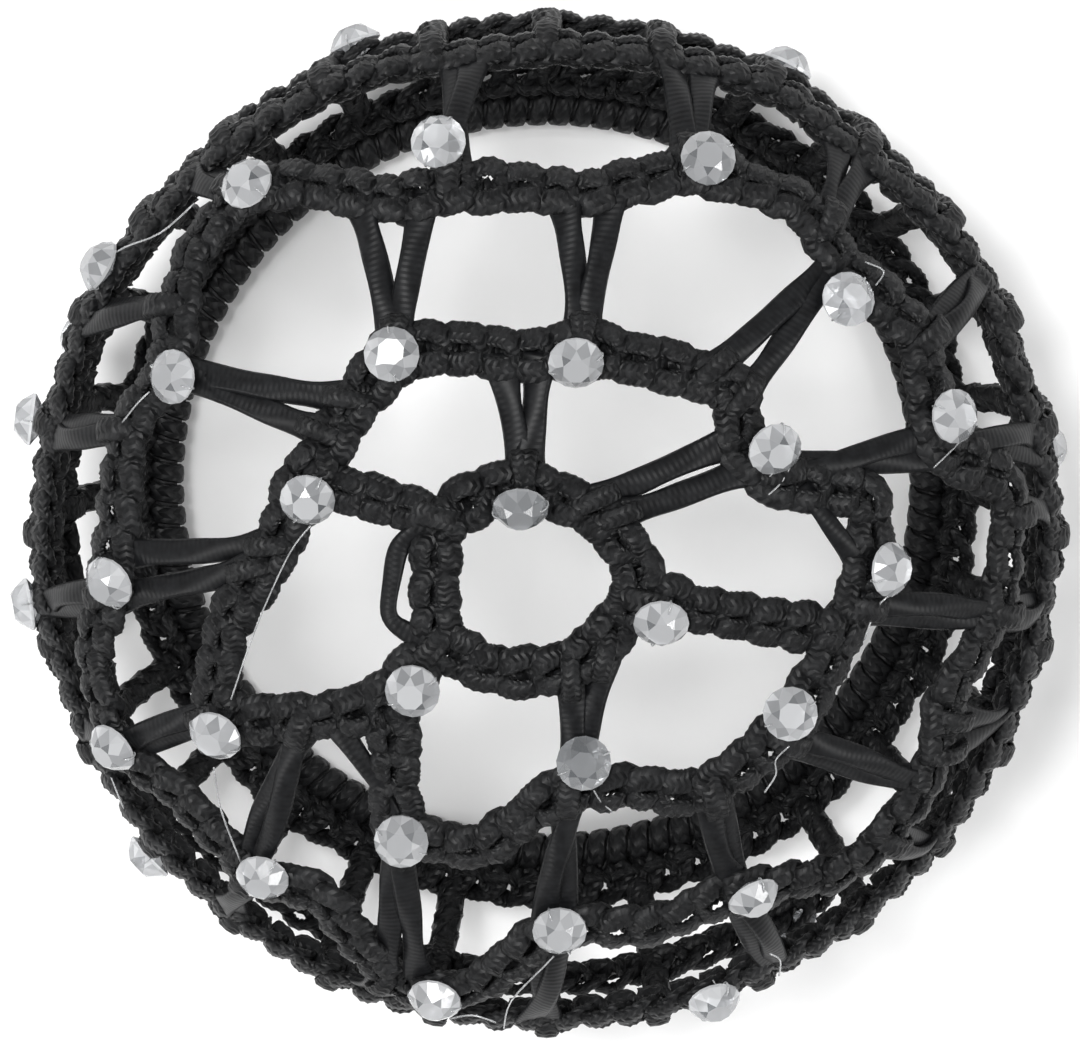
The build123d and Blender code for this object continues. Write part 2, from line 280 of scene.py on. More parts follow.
# %% Stone seats
stone_radius = 5.1 / 2 * mm
table_radius = 2.5 / 2 * mm
crown_height = 1.45 * mm
half_girdle = 0.15 * mm
back_depth = 1.4 * mm
tape_top = 1.1 * mm
clearance = 0.15 * mm
stone_sink = 1.0 * mm
knot_rise = 0.45 * mm
knot_widening = 0.30
knot_spread = 2.6 * mm
level_lean = np.radians(40.0)

stone_foot = on_dome(stones[:, 0], stones[:, 1])
stone_face = direction(np.radians(stones[:, 2]), np.radians(stones[:, 3]))
stone_out = direction(*turn_and_slope(stone_foot))
stone_lean = np.arccos(np.clip((stone_face * stone_out).sum(1), -1, 1))
back_room = (back_depth + half_girdle) * np.cos(stone_lean)
side_room = stone_radius * np.sin(stone_lean) + half_girdle * np.cos(stone_lean)
stone_lift = tape_top + clearance + np.maximum(back_room, side_room) - stone_sink
stone_middle = stone_foot + stone_lift[:, None] * stone_out
knot_height = knot_rise * np.clip(1 - stone_lean / level_lean, 0, 1)


def near_stones(points, amount):
    """At each point: for every stone the amount times a bell curve of the distance to its foot,
    and of these the highest."""
    away = np.linalg.norm(points[:, None] - stone_foot[None], axis=2)
    return (amount * np.exp(-(away / knot_spread) ** 2)).max(1)


# %% [markdown]
# ## Tape
# The yarn is a soft flat tape with fine ribs across it. A tape is a flat section carried along a
# line, thicker and thinner by turns, so its ribs are real and catch the light. The section is an
# oval with eight corners. The ends of an open tape are closed by a fan of faces.

# %% A tape as one surface
ring_corners = 8
oval_power = 0.8
width_rib_share = 0.25
corner_angle = np.arange(ring_corners) * 2 * np.pi / ring_corners
corner_across = np.sign(np.cos(corner_angle)) * np.abs(np.cos(corner_angle)) ** oval_power
corner_up = np.sign(np.sin(corner_angle)) * np.abs(np.sin(corner_angle)) ** oval_power


def tape(centre, facing, half_width, half_thick, closed, rib=0.15, finish=0):
    """Corners, four-sided faces, three-sided faces, face-corner UVs and finish number of a tape.
    Corner k of ring i is centre i, plus half width times cosine k across, plus half thickness
    times sine k up, both drawn a little towards a box by the oval power. Every other ring is
    thicker by the rib share, and wider by a quarter of it. Across is square to the line and to
    facing."""
    count = len(centre)
    ahead = np.roll(centre, -1, 0) - np.roll(centre, 1, 0) if closed else np.gradient(centre, axis=0)
    ahead = unit(ahead)
    across = unit(np.cross(ahead, facing))
    up = np.cross(across, ahead)
    ribbed = rib * (np.arange(count) % 2 * 2 - 1)
    wide = (np.broadcast_to(half_width, count) * (1 + width_rib_share * ribbed))[:, None, None]
    thick = (np.broadcast_to(half_thick, count) * (1 + ribbed))[:, None, None]
    rings = (centre[:, None] + wide * corner_across[:, None] * across[:, None]
             + thick * corner_up[:, None] * up[:, None])
    last_ring = count if closed else count - 1
    i, k = np.meshgrid(np.arange(last_ring), np.arange(ring_corners), indexing="ij")
    i, k = i.ravel(), k.ravel()
    i_next, k_next = (i + 1) % count, (k + 1) % ring_corners
    quads = np.stack([i * ring_corners + k, i_next * ring_corners + k,
                      i_next * ring_corners + k_next, i * ring_corners + k_next], -1)
    u = np.stack([i, i + 1, i + 1, i], -1) / 2
    v = np.stack([k, k, k + 1, k + 1], -1) / ring_corners
    corners = rings.reshape(-1, 3)
    fans = np.zeros((0, 3), int)
    if not closed:
        k = np.arange(ring_corners)
        k_next = (k + 1) % ring_corners
        last = (count - 1) * ring_corners
        start_fan = np.stack([np.full(ring_corners, len(corners)), k, k_next], -1)
        end_fan = np.stack([np.full(ring_corners, len(corners) + 1), last + k_next, last + k], -1)
        fans = np.concatenate([start_fan, end_fan])
        corners = np.concatenate([corners, centre[[0, -1]]])
    return corners, quads, fans, np.stack([u, v], -1), finish


def joined(tapes):
    """Several tapes as one set of corners, faces, UVs and finishes, each one's numbers moved on."""
    starts = np.cumsum([0] + [len(t[0]) for t in tapes])
    quads = np.concatenate([t[1] + start for t, start in zip(tapes, starts)])
    fans = np.concatenate([t[2] + start for t, start in zip(tapes, starts)])
    finishes = np.concatenate([np.full(len(t[1]), t[4]) for t in tapes]
                              + [np.full(len(t[2]), t[4]) for t in tapes])
    corners = np.concatenate([t[0] for t in tapes])
    return corners, quads, fans, np.concatenate([t[3] for t in tapes]), finishes


def shown(name, tapes, materials, slot, *nodes):
    """Puts tapes into one new mesh object that rides on the root and stands for its nodes. A
    tape's finish number picks its material."""
    corners, quads, fans, uvs, finishes = joined(tapes)
    mesh = bpy.data.meshes.new(name)
    mesh.vertices.add(len(corners))
    mesh.vertices.foreach_set("co", corners.astype(np.float32).ravel())
    face_corners = np.concatenate([quads.ravel(), fans.ravel()]).astype(np.int32)
    sizes = np.concatenate([np.full(len(quads), 4), np.full(len(fans), 3)])
    mesh.loops.add(len(face_corners))
    mesh.loops.foreach_set("vertex_index", face_corners)
    mesh.polygons.add(len(sizes))
    mesh.polygons.foreach_set("loop_start", (np.cumsum(sizes) - sizes).astype(np.int32))
    mesh.update(calc_edges=True)
    layer = mesh.uv_layers.new(name="Tape")
    all_uvs = np.concatenate([uvs.reshape(-1, 2), np.zeros((fans.size, 2))])
    layer.data.foreach_set("uv", all_uvs.astype(np.float32).ravel())
    mesh.shade_smooth()
    for used in materials:
        mesh.materials.append(used)
    mesh.polygons.foreach_set("material_index", finishes.astype(np.int32))
    piece = bpy.data.objects.new(name, mesh)
    bpy.context.scene.collection.objects.link(piece)
    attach(piece, "root")
    if nodes:
        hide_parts(*nodes)
    print(name, "triangles:", 2 * len(quads) + len(fans), "faults mended:", mesh.validate())
    return piece


# %% [markdown]
# ## Chain stitches
# A crocheted chain is one tape drawn through itself. Each stitch rises through the loop before
# it, spreads into two legs that lie over that loop's head, closes in a head of its own, and goes
# on underneath to the next stitch. Its middle line is a short table of places, in stitch lengths
# along the chain and in half widths aside, joined by smooth cubic pieces. The same table is laid
# again and again along the chain, each place moved a little, as no two stitches are alike.

# %% One stitch, repeated
#   along, aside, lift, and which way the tape's flat side looks: along, aside, outwards
stitch = np.array([
    (0.02, -0.15, -0.60, -1.0, 0.0, 0.2),
    (0.25, -0.42, 0.10, -0.6, -0.2, 1.0),
    (0.48, -0.86, 0.62, -0.2, -0.4, 1.0),
    (0.85, -1.00, 0.50, 0.0, -0.4, 1.0),
    (1.25, -0.86, -0.05, 0.2, -0.4, 1.0),
    (1.50, 0.00, -0.35, 0.5, 0.0, 1.0),
    (1.25, 0.86, -0.05, 0.2, 0.4, 1.0),
    (0.85, 1.00, 0.50, 0.0, 0.4, 1.0),
    (0.48, 0.86, 0.62, -0.2, 0.4, 1.0),
    (0.25, 0.42, 0.10, -0.6, 0.2, 1.0),
    (0.02, 0.15, -0.60, -1.0, 0.0, 0.2),
    (0.50, 0.00, -0.80, 0.0, 1.0, 0.1),
])
stitch_length = 3.2 * mm
stitch_half_width = 1.42 * mm
stitch_lift = 1.0 * mm
tape_half_width = 1.18 * mm
tape_half_thick = 0.50 * mm
steps_between = 4
unevenness = 0.10 * mm
width_unevenness = 0.09
blend_share = np.arange(steps_between) / steps_between
cubic = 0.5 * np.array([[0, 2, 0, 0], [-1, 0, 1, 0], [2, -5, 4, -1], [-1, 3, -3, 1]])
cubic_weights = np.stack([blend_share ** power for power in range(4)], -1) @ cubic
chance = np.random.default_rng(7)


def rounded(places):
    """Smooth closed line through places: between two of them, a cubic blend of those two and
    of one more on each side."""
    four = np.stack([np.roll(places, shift, 0) for shift in (1, 0, -1, -2)], 1)
    return np.einsum("sw,nwc->nsc", cubic_weights, four).reshape(-1, places.shape[1])


def chain(line, half_width=stitch_half_width):
    """Tape of a chain: as many stitches as fit, the table's places laid along the line. On an
    open line a stitch more is made at each end, and then left off."""
    count = round(line["length"] / stitch_length)
    number = np.arange(count) if line["closed"] else np.arange(-1, count + 1)
    places = np.tile(stitch, (len(number), 1))
    uneven = chance.normal(0, unevenness, (len(places), 2))
    wider = np.repeat(1 + width_unevenness * chance.normal(0, 1, len(number)), len(stitch))
    places[:, 1] = places[:, 1] * half_width * wider + uneven[:, 0]
    places[:, 2] = places[:, 2] * stitch_lift + uneven[:, 1]
    smooth = rounded(places)
    # the first and last places of a stitch blend with the stitch before or after, a length away
    segment = np.tile(np.arange(len(stitch)), len(number))
    step = np.repeat(segment, steps_between)
    share = np.tile(cubic_weights, (len(places), 1))
    along = smooth[:, 0] + np.repeat(number, len(stitch) * steps_between)
    along += np.where(step == len(stitch) - 1, share[:, 2] + share[:, 3], 0)
    along += np.where(step == len(stitch) - 2, share[:, 3], 0)
    along -= np.where(step == 0, share[:, 0], 0)
    length = line["length"] / count
    on_line = laid(line, along * length, np.zeros(len(along)), np.zeros(len(along)))[0]
    aside = smooth[:, 1] * (1 + near_stones(on_line, knot_widening))
    lift = smooth[:, 2] + near_stones(on_line, knot_height)
    centre, out, side = laid(line, along * length, aside, lift)
    ahead = np.cross(side, out)
    facing = smooth[:, 3:4] * ahead + smooth[:, 4:5] * side + smooth[:, 5:6] * out
    ends = 0 if line["closed"] else len(stitch) * steps_between
    kept = slice(ends, len(centre) - ends)
    return tape(centre[kept], facing[kept], tape_half_width, tape_half_thick, line["closed"])


# %% [markdown]
# ## Posts and strands
# A post is a tall stitch, and the net has three kinds. Near the crown a post is worked like a
# short chain. Further out the tape runs straight up and down again, so two flat lengths lie
# together, or part into a V. Below, three lengths wind round each other. At its foot a post
# loops right round the chain that it stands on, so a band of tape lies over the chain there.

# %% Posts, strands and foot loops
strand_step = 0.40 * mm
wound_count = 3
wound_tuck = 0.3 * mm
wound_half_thick = 0.9 * tape_half_thick
wind_pitch = 8.5 * mm
wind_aside = 0.85 * mm
wind_lift = 0.50 * mm
short_chain_width = 0.88 * stitch_half_width
strand_tuck = 0.4 * mm
roll_angle = 0.40
roll_pitch = 14 * mm
wander_aside = 0.12 * mm
wander_length = 3 * mm
pulled_share = 0.10
flat_half_width = 1.35 * mm
flat_half_thick = 0.42 * mm
flat_rib = 0.012
pair_half_width = 1.25 * mm
pair_offset = 0.70 * mm
pair_lifts = (0.45 * mm, -0.25 * mm)
second_half_width = 1.05 * mm
second_lift = 0.4 * mm
end_spread = 0.35
end_spread_reach = 2.2 * mm
loop_reach = 2.3 * mm
loop_lift = 1.40 * mm
loop_back = 0.9 * mm
loop_half_width = 1.15 * mm
narrow_loop_half_width = 0.8 * loop_half_width
loop_half_thick = 0.40 * mm
loop_rib = 0.14
loop_steps = 44


def reach_on(stops, turn):
    """Reach of a chain where it passes a turn."""
    rows = np.array(sorted(stops))
    return np.interp(turn % 360, rows[:, 0], rows[:, 1], period=360)


def steps_along(line, tuck):
    """Distances along an open line, from one tuck before its start to one after its end."""
    count = int((line["length"] + 2 * tuck) / strand_step)
    return np.linspace(-tuck, line["length"] + tuck, count)


def wound_post(line, phase):
    """Three tapes wound round a line: each one's angle grows by a full turn a pitch, and its
    middle is aside times the angle's cosine and lift times its sine."""
    along = steps_along(line, wound_tuck)
    tapes = []
    for number in range(wound_count):
        angle = 2 * np.pi * (along / wind_pitch + number / wound_count) + phase
        centre, out, side = laid(line, along, wind_aside * np.cos(angle), wind_lift * np.sin(angle))
        facing = np.cos(angle)[:, None] * side + np.sin(angle)[:, None] * out
        tapes.append(tape(centre, facing, tape_half_width, wound_half_thick, False))
    return tapes


def flat_strand(line, phase, half_width=flat_half_width, aside=0.0, lift=0.0):
    """One flat tape along a line. It rolls gently from side to side, which is a slow sine of the
    distance, and may hump by a lift. It narrows a little at mid length where it is pulled, and
    spreads near its ends by a bell curve of the distance to the end, where it meets a chain."""
    along = steps_along(line, strand_tuck)
    share = np.clip(along / line["length"], 0, 1)
    roll = roll_angle * np.sin(2 * np.pi * along / roll_pitch + phase)
    wander = aside * np.cos(np.pi * share + phase)
    wander += wander_aside * np.sin(along / wander_length + phase)
    centre, out, side = laid(line, along, wander, lift * np.sin(np.pi * share))
    facing = np.cos(roll)[:, None] * out + np.sin(roll)[:, None] * side
    from_end = np.minimum(along, line["length"] - along)
    spread = end_spread * np.exp(-(from_end / end_spread_reach) ** 2)
    width = half_width * (1 - pulled_share * np.sin(np.pi * share) + spread)
    return tape(centre, facing, width, flat_half_thick, False, rib=flat_rib, finish=1)


def flat_pair(line, phase):
    """Two flat tapes that lie together and change sides once on the way."""
    return [flat_strand(line, phase + half_turn, pair_half_width, pair_offset, lift)
            for half_turn, lift in zip((0, np.pi), pair_lifts)]


def chained_post(line, phase):
    """A short chain along the line. Its stitches have no phase, which is there only because
    every kind of post is called in the same way."""
    return [chain(line, short_chain_width)]


def foot_loop(line, half_width=loop_half_width):
    """Closed loop round the chain at a post's foot: reach along the post times cosine, and lift
    off the dome times sine. Its flat side looks away from the chain."""
    angle = np.arange(loop_steps) * 2 * np.pi / loop_steps
    middle = 0.5 * loop_reach - loop_back
    centre, out, side = laid(line, middle + loop_reach * np.cos(angle), np.zeros(loop_steps),
                             loop_lift * np.sin(angle))
    ahead = np.cross(side, out)
    facing = np.cos(angle)[:, None] * ahead + np.sin(angle)[:, None] * out
    return tape(centre, facing, half_width, loop_half_thick, True, rib=loop_rib)


def degrees_for(distance, reach):
    """Turn that a sideways distance in millimetres takes at a reach."""
    radius = np.linalg.norm(on_dome(0, reach)[:2])
    return np.degrees(distance * mm / radius)


def posts(rows, inner, outer, single_post):
    """Tapes of a round's posts, from the chain inside it to its own chain. single_post makes one
    that doesn't part."""
    tapes = []
    for foot_turn, top_turn, foot_gap, top_gap in rows:
        phase = chance.uniform(0, 2 * np.pi)
        if foot_gap == top_gap == 0:
            line = dome_line([(foot_turn, reach_on(inner, foot_turn)),
                              (top_turn, reach_on(outer, top_turn))], False)
            tapes += single_post(line, phase)
            tapes.append(foot_loop(line))
            continue
        for side in (-0.5, 0.5):
            foot = foot_turn + degrees_for(side * foot_gap, reach_on(inner, foot_turn))
            top = top_turn + degrees_for(side * top_gap, reach_on(outer, top_turn))
            line = dome_line([(foot, reach_on(inner, foot)), (top, reach_on(outer, top))], False)
            tapes.append(flat_strand(line, phase + side))
            tapes.append(foot_loop(line, narrow_loop_half_width))
    return tapes


def second_strands(rows):
    """Flat tapes that run beside a chain, each through its own places."""
    lines = [dome_line(places, False) for places in rows]
    return [flat_strand(line, phase, second_half_width, lift=second_lift)
            for phase, line in enumerate(lines)]


# %% [markdown]
# ## Materials
# The tape is a matt black knit. Its colour is never one flat black: the light catches the
# ribs, some places are greyer with lint, and the hollows are darker. A group of nodes makes the
# fine knit from the tape's own UV map, where one unit is one rib, and every tape uses it.

# %% Knit effect and tape material


def group(name, inputs, outputs):
    """An empty node group with named sockets: (name, kind, value) in, and (name, kind) out."""
    tree = bpy.data.node_groups.new(name, "ShaderNodeTree")
    for label, kind, value in inputs:
        tree.interface.new_socket(label, in_out="INPUT", socket_type=kind).default_value = value
    for label, kind in outputs:
        tree.interface.new_socket(label, in_out="OUTPUT", socket_type=kind)
    return tree, tree.nodes.new("NodeGroupInput"), tree.nodes.new("NodeGroupOutput")


def node(tree, kind, settings=(), **values):
    """A node with its settings made, and its input sockets given a value or linked."""
    made = tree.nodes.new("ShaderNode" + kind)
    for key, value in dict(settings).items():
        setattr(made, key, value)
    for key, value in values.items():
        socket = made.inputs[int(key[1:])] if key[0] == "_" else made.inputs[key.replace("_", " ")]
        if isinstance(value, bpy.types.NodeSocket):
            tree.links.new(value, socket)
        else:
            socket.default_value = value
    return made


knit, knit_in, knit_out = group(
    "Fine knit",
    [("Columns", "NodeSocketFloat", 6.0), ("Ribs", "NodeSocketFloat", 1.0),
     ("Lint scale", "NodeSocketFloat", 900.0)],
    [("Height", "NodeSocketFloat"), ("Lint", "NodeSocketFloat")])
knit_uv = node(knit, "UVMap", {"uv_map": "Tape"})
parts = node(knit, "SeparateXYZ", Vector=knit_uv.outputs[0])
across_turns = node(knit, "Math", {"operation": "MULTIPLY"},
                    _0=parts.outputs[1], _1=knit_in.outputs["Columns"])
across_wave = node(knit, "Math", {"operation": "PINGPONG"}, _0=across_turns.outputs[0], _1=0.5)
rib_turns = node(knit, "Math", {"operation": "MULTIPLY"},
                 _0=parts.outputs[0], _1=knit_in.outputs["Ribs"])
slanted = node(knit, "Math", {"operation": "ADD"},
               _0=rib_turns.outputs[0], _1=across_wave.outputs[0])
rib_wave = node(knit, "Math", {"operation": "PINGPONG"}, _0=slanted.outputs[0], _1=0.5)
both = node(knit, "Math", {"operation": "MULTIPLY_ADD"},
            _0=across_wave.outputs[0], _1=0.7, _2=rib_wave.outputs[0])
place = node(knit, "TexCoord")
lint = node(knit, "TexNoise", Vector=place.outputs["Object"], Scale=knit_in.outputs["Lint scale"],
            Detail=3.0, Roughness=0.6)
knit.links.new(both.outputs[0], knit_out.inputs["Height"])
knit.links.new(lint.outputs[0], knit_out.inputs["Lint"])


def material(name):
    """A new material with a Principled shader, and its node tree."""
    made = bpy.data.materials.new(name)
    made.use_nodes = True
    return made, made.node_tree, made.node_tree.nodes["Principled BSDF"]


def colour_between(tree, factor, low, high, dark, light):
    """Colour that goes from dark to light as a factor goes from low to high."""
    ramp = tree.nodes.new("ShaderNodeValToRGB")
    ramp.color_ramp.elements[0].position = low
    ramp.color_ramp.elements[1].position = high
    ramp.color_ramp.elements[0].color = (*dark, 1)
    ramp.color_ramp.elements[1].color = (*light, 1)
    tree.links.new(factor, ramp.inputs[0])
    return ramp.outputs[0]


def tape_material(name, ribs, columns, dark, light, depth):
    """Matt knit: colour and roughness follow the lint, and the knit's height makes the bump."""
    made, tree, shader = material(name)
    knit_node = tree.nodes.new("ShaderNodeGroup")
    knit_node.node_tree = knit
    knit_node.inputs["Ribs"].default_value = ribs
    knit_node.inputs["Columns"].default_value = columns
    colour = colour_between(tree, knit_node.outputs["Lint"], 0.35, 0.75, dark, light)
    tree.links.new(colour, shader.inputs["Base Color"])
    rough = node(tree, "MapRange", _0=knit_node.outputs["Lint"], _3=0.34, _4=0.52)
    tree.links.new(rough.outputs[0], shader.inputs["Roughness"])
    bump = node(tree, "Bump", Height=knit_node.outputs["Height"], Distance=depth, Strength=0.9)
    tree.links.new(bump.outputs[0], shader.inputs["Normal"])
    shader.inputs["Sheen Weight"].default_value = 0.01
    shader.inputs["Sheen Roughness"].default_value = 0.45
    shader.inputs["Specular IOR Level"].default_value = 0.17
    return made


ribbed_tape = tape_material("Black ribbed tape", 1.0, 5.0, (0.0040, 0.0041, 0.0045),
                            (0.018, 0.0185, 0.0195), 0.00030)
flat_tape = tape_material("Black tape pulled flat", 1.5, 1.0, (0.0030, 0.0031, 0.0036),
                          (0.008, 0.0085, 0.0095), 0.00004)
tapes_used = [ribbed_tape, flat_tape]

# %% [markdown]
# ## The rounds
# Each round is one piece: its chain, the posts that hang it from the chain inside, and the
# strands that run beside it. It stands for the plain solid of the same round.

# %% Make the rounds
wrap_turns = 108
wrap_steps = 16
wrap_radius = 1.68 * mm
wrap_half_width = 0.95 * mm
wrap_half_thick = 0.36 * mm
wrap_rib = 0.08
rim_radius = np.linalg.norm(on_dome(0, rim_reach / mm)[:2])


def rim_wrap():
    """Tape wound over the elastic all the way round the rim: from the rim's circle, the wrap
    radius times the wrap's cosine outwards and times its sine up."""
    turn = np.arange(wrap_turns * wrap_steps) * 2 * np.pi / (wrap_turns * wrap_steps)
    wrap = wrap_turns * turn
    away = direction(turn, np.pi / 2) * np.cos(wrap)[:, None]
    away[:, 2] = np.sin(wrap)
    centre = direction(turn, np.pi / 2) * rim_radius + wrap_radius * away
    return tape(centre, away, wrap_half_width, wrap_half_thick, True, rib=wrap_rib)


chain_rows = {"centre": centre_chain, "1": chain_1, "2": chain_2, "3": chain_3,
              "4": chain_4, "edge": edge_chain}
chain_lines = {name: dome_line(rows, True) for name, rows in chain_rows.items()}
shown("centre_ring_crochet", [chain(chain_lines["centre"])] + second_strands(centre_strands),
      tapes_used, "tape", "centre_ring")
shown("round_1_crochet",
      [chain(chain_lines["1"])] + posts(posts_1, centre_chain, chain_1, chained_post)
      + second_strands(round_1_strands), tapes_used, "tape", "round_1")
shown("round_2_crochet",
      [chain(chain_lines["2"])] + posts(posts_2, chain_1, chain_2, flat_pair),
      tapes_used, "tape", "round_2")
shown("round_3_crochet",
      [chain(chain_lines["3"])] + posts(posts_3, chain_2, chain_3, flat_pair),
      tapes_used, "tape", "round_3")
shown("round_4_crochet",
      [chain(chain_lines["4"])] + posts(even_posts, chain_3, chain_4, wound_post),
      tapes_used, "tape", "round_4")
shown("edge_round_crochet",
      [chain(chain_lines["edge"]), rim_wrap()]
      + posts(even_posts, chain_4, edge_chain, wound_post), tapes_used, "tape", "edge_round")

# %% [markdown]
# ## The elastic
# The rim is drawn in by a covered elastic cord. Its solid has the right shape, so it stays and
# gets a material: a dark woven cover whose fine braid follows the cord, with painted shade in the
# braid's grooves.

# %% Elastic material
elastic_cover, tree, shader = material("Covered elastic")
place = node(tree, "TexCoord")
braid = node(tree, "TexVoronoi", Vector=place.outputs["Object"], Scale=1400.0)
# painted shade: the colour is darker where the inverted bump sinks the braid's grooves
colour = colour_between(tree, braid.outputs[0], 0.1, 0.8,
                        (0.030, 0.030, 0.032), (0.006, 0.006, 0.007))
tree.links.new(colour, shader.inputs["Base Color"])
bump = node(tree, "Bump", Height=braid.outputs[0], Distance=0.0002, Strength=0.7)
bump.invert = True
tree.links.new(bump.outputs[0], shader.inputs["Normal"])
shader.inputs["Roughness"].default_value = 0.6
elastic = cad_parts["elastic_band"]
elastic.data.materials.clear()
elastic.data.materials.append(elastic_cover)

# %% [markdown]
# ## The stones
# A round cut stone has a flat table, a crown of facets over a thin girdle, and a pointed back.
# It could be the plain solid with a glass finish, but a real stone sparkles because it has many
# facets, so the cut is laid out here: an eight-sided table, eight stars, eight kites and sixteen
# small facets down to the girdle, and as many below. The material is clear and a little milky, and
# each facet's colour is painted lighter or darker: painted reflections that sparkle from every side.

# %% Cut of one stone
eight = np.arange(8)
sixteen = np.arange(16)


def ring_of(count, start, radius, height):
    """Evenly spaced points round the stone's axis."""
    angle = (np.arange(count) + start) * 2 * np.pi / count
    return np.stack([radius * np.cos(angle), radius * np.sin(angle), np.full(count, height)], -1)


star_radius = 1.86 * mm
star_height = half_girdle + 0.92 * mm
back_ring_radius = 1.25 * mm
back_ring_height = -half_girdle - 0.85 * mm
cut_corners = np.concatenate([
    ring_of(8, 0, table_radius, half_girdle + crown_height),
    ring_of(8, 0.5, star_radius, star_height),
    ring_of(16, 0, stone_radius, half_girdle),
    ring_of(16, 0, stone_radius, -half_girdle),
    ring_of(8, 0.5, back_ring_radius, back_ring_height),
    np.array([[0, 0, -half_girdle - back_depth]]),
])
table, star, girdle, under, back, point = 0, 8, 16, 32, 48, 56
after = (eight + 1) % 8
before = (eight - 1) % 8
next_of_16 = (sixteen + 1) % 16
near_star = sixteen // 2
cut_quads = np.concatenate([
    np.stack([star + before, girdle + 2 * eight, star + eight, table + eight], -1),
    np.stack([girdle + sixteen, under + sixteen, under + next_of_16, girdle + next_of_16], -1),
    np.stack([back + before, np.full(8, point), back + eight, under + 2 * eight], -1),
])
cut_triangles = np.concatenate([
    np.stack([table + eight, star + eight, table + after], -1),
    np.stack([star + near_star, girdle + sixteen, girdle + next_of_16], -1),
    np.stack([back + near_star, under + next_of_16, under + sixteen], -1),
])
cut_faces = [list(range(8))] + cut_quads.tolist() + cut_triangles.tolist()
print("facets:", len(cut_faces))

# %% Crystal material
crystal, tree, shader = material("Milky clear stone")
painted_reflection_reader = node(tree, "Attribute", {"attribute_name": "painted_facet_reflection"})
# base colour: each facet's painted reflection, from dark grey to near white
colour = colour_between(tree, painted_reflection_reader.outputs["Fac"], 0.0, 1.0, (0.10, 0.11, 0.12), (0.90, 0.91, 0.93))
tree.links.new(colour, shader.inputs["Base Color"])
place = node(tree, "TexCoord")
haze = node(tree, "TexNoise", Vector=place.outputs["Object"], Scale=700.0, Detail=2.0)
rough = node(tree, "MapRange", _0=haze.outputs[0], _3=0.03, _4=0.16)
tree.links.new(rough.outputs[0], shader.inputs["Roughness"])
shader.inputs["Transmission Weight"].default_value = 0.55
shader.inputs["IOR"].default_value = 1.52
shader.inputs["Specular IOR Level"].default_value = 0.8

# %% Set the stones
# how light each kind of facet is painted, as painted reflections: table, kites, girdle, back kites,
# stars, and the small ones
facet_kinds = [(1, 0.55, 0.85), (8, 0.30, 0.85), (16, 0.85, 1.0), (8, 0.0, 0.6),
               (8, 0.05, 0.75), (16, 0.45, 1.0), (16, 0.1, 0.9)]
# three stones lie over the dark tape, so their facets are painted darker, as painted shade of the
# tape seen through them: their rows in the table, counted from 0
stones_painted_darker = {2: 0.62, 12: 0.38, 21: 0.40}
reflection_paint_low = np.concatenate([np.full(count, low) for count, low, high in facet_kinds])
reflection_paint_high = np.concatenate([np.full(count, high) for count, low, high in facet_kinds])
for number in range(len(stones)):
    turned = stone_face[number]
    sideways = unit(np.cross(turned, (0.3, -0.9, 0.31)))
    axes = np.stack([sideways, np.cross(turned, sideways), turned])
    mesh = bpy.data.meshes.new(f"cut_stone_{number + 1:02d}")
    mesh.from_pydata((cut_corners @ axes + stone_middle[number]).tolist(), [], cut_faces)
    painted_facet_reflection = mesh.attributes.new("painted_facet_reflection", "FLOAT", "FACE")
    # painted reflections: each facet is painted at random between the limits of its kind
    reflection_paint_values = chance.uniform(reflection_paint_low, reflection_paint_high) * stones_painted_darker.get(number, 1)
    painted_facet_reflection.data.foreach_set("value", reflection_paint_values.astype(np.float32))
    mesh.materials.append(crystal)
    piece = bpy.data.objects.new(mesh.name, mesh)
    bpy.context.scene.collection.objects.link(piece)
    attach(piece, "root")
    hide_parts(f"stone_{number + 1:02d}")
print("stones set:", len(stones))

# %% [markdown]
# ## The nylon thread
# Each stone is sewn on with clear nylon thread that comes up near its edge on two sides, and the
# thread runs on from stone to tape in fine loose ends and bridges. A thread is a thin round tube
# through a few places, joined by the same cubic pieces as the stitches. It stands for no solid.

# %% Sewing thread
#   turn, reach and lift in millimetres of each place
loose_threads = [
    [(164, 22.2, 2.2), (172.5, 24, 1.2), (188.5, 27.5, 0.9), (201, 31.8, 1.6)],
    [(210.5, 36.8, 2.0), (217, 39.5, 1.6), (224.5, 42.2, 1.5)],
    [(208, 51, 1.6), (211.5, 53.5, 1.2), (215, 57.8, 1.0)],
    [(326, 27, 1.9), (322, 27, 1.5), (319.5, 28.2, 1.3), (315.5, 28.5, 1.5)],
    [(358, 32.2, 2.0), (355.5, 31, 1.5), (349.5, 30.2, 1.4)],
    [(18, 42.2, 1.9), (17, 40.8, 1.6), (15.5, 38.5, 1.2)],
    [(155.5, 42, 1.8), (157.5, 42.8, 1.5), (161, 43.8, 1.4)],
    [(283, 19, 1.6), (284, 20.5, 1.3), (286, 21.8, 1.4)],
    [(271, 37.8, 1.8), (269.5, 40, 1.2), (265.5, 45.8, 1.0), (265, 52, 1.5)],
    [(258.5, 50.2, 1.8), (261, 49.2, 1.4), (264, 50.8, 1.3)],
    [(27, 24.8, 1.8), (25, 23.5, 1.6), (24, 22, 1.7)],
    [(148, 57.5, 1.8), (144.5, 55.2, 1.6), (140, 51.8, 1.4), (134.5, 50.5, 1.8)],
    [(299, 46.2, 1.5), (299.5, 48, 1.7), (298, 52, 1.6)],
    [(41.5, 42, 1.8), (42, 43.5, 1.9), (44.5, 43, 1.5)],
    [(131, 50, 1.7), (130.5, 48, 1.9), (129.5, 46.8, 1.6)],
]
thread_radius = 0.075 * mm


